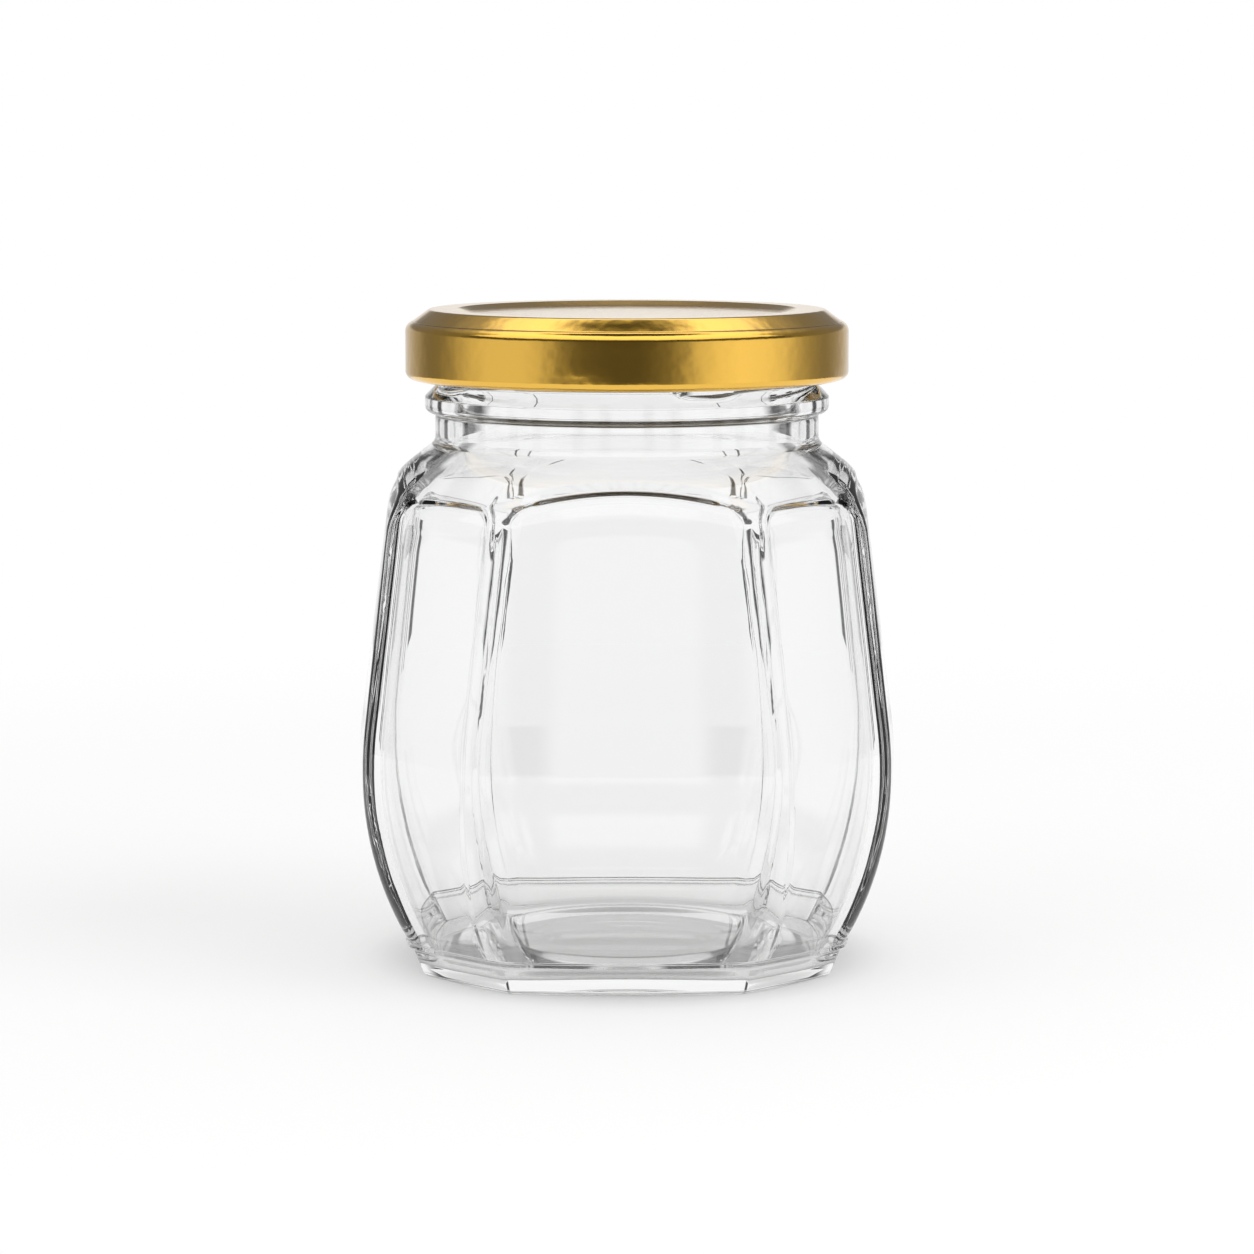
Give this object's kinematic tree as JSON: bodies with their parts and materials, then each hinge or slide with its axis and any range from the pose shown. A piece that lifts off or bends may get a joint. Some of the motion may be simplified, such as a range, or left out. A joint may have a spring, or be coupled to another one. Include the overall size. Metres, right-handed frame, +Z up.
{
  "type": "octagonal glass jar",
  "caption": "Empty faceted glass food jar with bulging panelled sides, a round threaded neck and a closed gold twist-off lid.",
  "frame": {"origin": "centre of the base plane the jar stands on", "axes": "+Z up along the axis of the neck, -Y towards the front wide panel, +X to the right of it"},
  "size_m": [0.079, 0.079, 0.0965],
  "materials": {
    "clear_glass": "clear flint glass, polished",
    "gold_tinplate": "tinplate under clear gold lacquer, glossy",
    "seal_compound": "soft off-white sealing compound, matt"
  },
  "bodies": {
    "root": {"jar": "clear_glass", "lid": "gold_tinplate", "seal": "seal_compound"}
  },
  "joints": []
}
